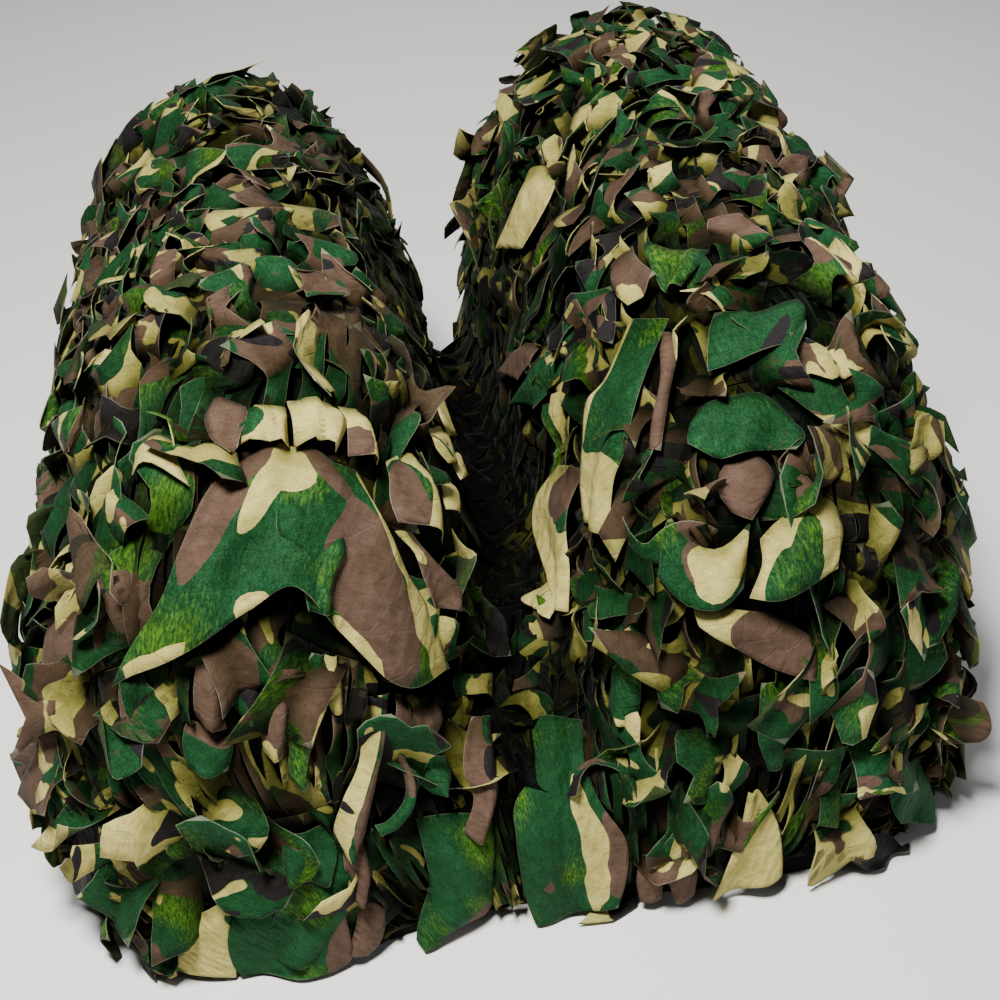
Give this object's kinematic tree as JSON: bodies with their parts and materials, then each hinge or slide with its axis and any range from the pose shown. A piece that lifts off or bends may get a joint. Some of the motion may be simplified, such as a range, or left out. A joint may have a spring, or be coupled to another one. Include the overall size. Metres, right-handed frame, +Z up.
{
  "type": "camouflage net cover",
  "caption": "Leaf-cut woodland camouflage net draped as a hollow cover over two long humps, hem on the floor.",
  "frame": {"origin": "centre of the bounding box's underside, on the floor", "axes": "+Z up, +Y from the front skirt to the back along both humps, +X to the right seen from the front"},
  "size_m": [1.3422, 1.6386, 0.7815],
  "materials": {
    "net": "matte",
    "printed_cloth": "satin"
  },
  "bodies": {
    "root": {"netting": "net", "garnish_strip_01": "printed_cloth", "garnish_strip_02": "printed_cloth", "garnish_strip_03": "printed_cloth", "garnish_strip_04": "printed_cloth", "garnish_strip_05": "printed_cloth", "garnish_strip_06": "printed_cloth", "garnish_strip_07": "printed_cloth", "garnish_strip_08": "printed_cloth", "garnish_strip_09": "printed_cloth", "garnish_strip_10": "printed_cloth"}
  },
  "joints": []
}
